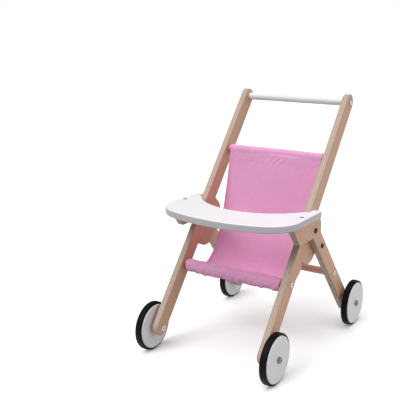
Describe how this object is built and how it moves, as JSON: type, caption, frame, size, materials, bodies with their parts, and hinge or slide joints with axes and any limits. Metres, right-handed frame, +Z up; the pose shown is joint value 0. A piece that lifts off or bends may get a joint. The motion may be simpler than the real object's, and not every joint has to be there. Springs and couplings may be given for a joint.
{
  "type": "doll stroller",
  "caption": "Wooden doll stroller with a fabric sling seat, a white bow-fronted tray, a round push handle and rubber-tyred wheels that spin on fixed axles.",
  "frame": {"origin": "on the floor, under the middle of the wheelbase and midway between the two sides", "axes": "+X to the left of the child who pushes it, +Y towards the handle, +Z up"},
  "size_m": [0.3476, 0.46, 0.526],
  "materials": {
    "wood": "clear satin lacquer on pale hardwood",
    "white_paint": "satin white paint on wood",
    "rubber": "satin",
    "zinc_steel": "bright zinc plate",
    "black_steel": "black oxide",
    "fabric": "plain-woven pink cotton"
  },
  "bodies": {
    "frame": {"tray": "white_paint", "handle_bar": "white_paint", "seat_back_dowel": "wood", "seat_front_dowel": "wood", "rear_stretcher": "wood", "seat_sling": "fabric", "handle_bolts": "zinc_steel", "handle_inserts": "zinc_steel", "front_dowel_bolts": "zinc_steel", "front_dowel_inserts": "zinc_steel", "stretcher_bolts": "zinc_steel", "stretcher_inserts": "zinc_steel", "tray_screws": "zinc_steel", "left_push_bar": "wood", "right_push_bar": "wood", "left_side_panel": "wood", "right_side_panel": "wood", "left_joint_bolts": "black_steel", "right_joint_bolts": "black_steel", "left_joint_inserts": "zinc_steel", "right_joint_inserts": "zinc_steel", "axle_barrel_nuts": "zinc_steel", "axle_washers": "zinc_steel", "axle_spacers": "zinc_steel", "front_left_axle_bolt": "zinc_steel", "front_right_axle_bolt": "zinc_steel", "rear_left_axle_bolt": "zinc_steel", "rear_right_axle_bolt": "zinc_steel"},
    "front_left_wheel_set": {"front_left_wheel": "white_paint", "front_left_tyre": "rubber"},
    "front_right_wheel_set": {"front_right_wheel": "white_paint", "front_right_tyre": "rubber"},
    "rear_left_wheel_set": {"rear_left_wheel": "white_paint", "rear_left_tyre": "rubber"},
    "rear_right_wheel_set": {"rear_right_wheel": "white_paint", "rear_right_tyre": "rubber"}
  },
  "joints": [
    {"name": "front_left_wheel_spin", "type": "hinge", "parent": "frame", "child": "front_left_wheel_set", "pos_m": [0, -0.178, 0.052], "axis": [1, 0, 0], "continuous": true},
    {"name": "front_right_wheel_spin", "type": "hinge", "parent": "frame", "child": "front_right_wheel_set", "pos_m": [0, -0.178, 0.052], "axis": [1, 0, 0], "continuous": true},
    {"name": "rear_left_wheel_spin", "type": "hinge", "parent": "frame", "child": "rear_left_wheel_set", "pos_m": [0, 0.178, 0.052], "axis": [1, 0, 0], "continuous": true},
    {"name": "rear_right_wheel_spin", "type": "hinge", "parent": "frame", "child": "rear_right_wheel_set", "pos_m": [0, 0.178, 0.052], "axis": [1, 0, 0], "continuous": true}
  ]
}
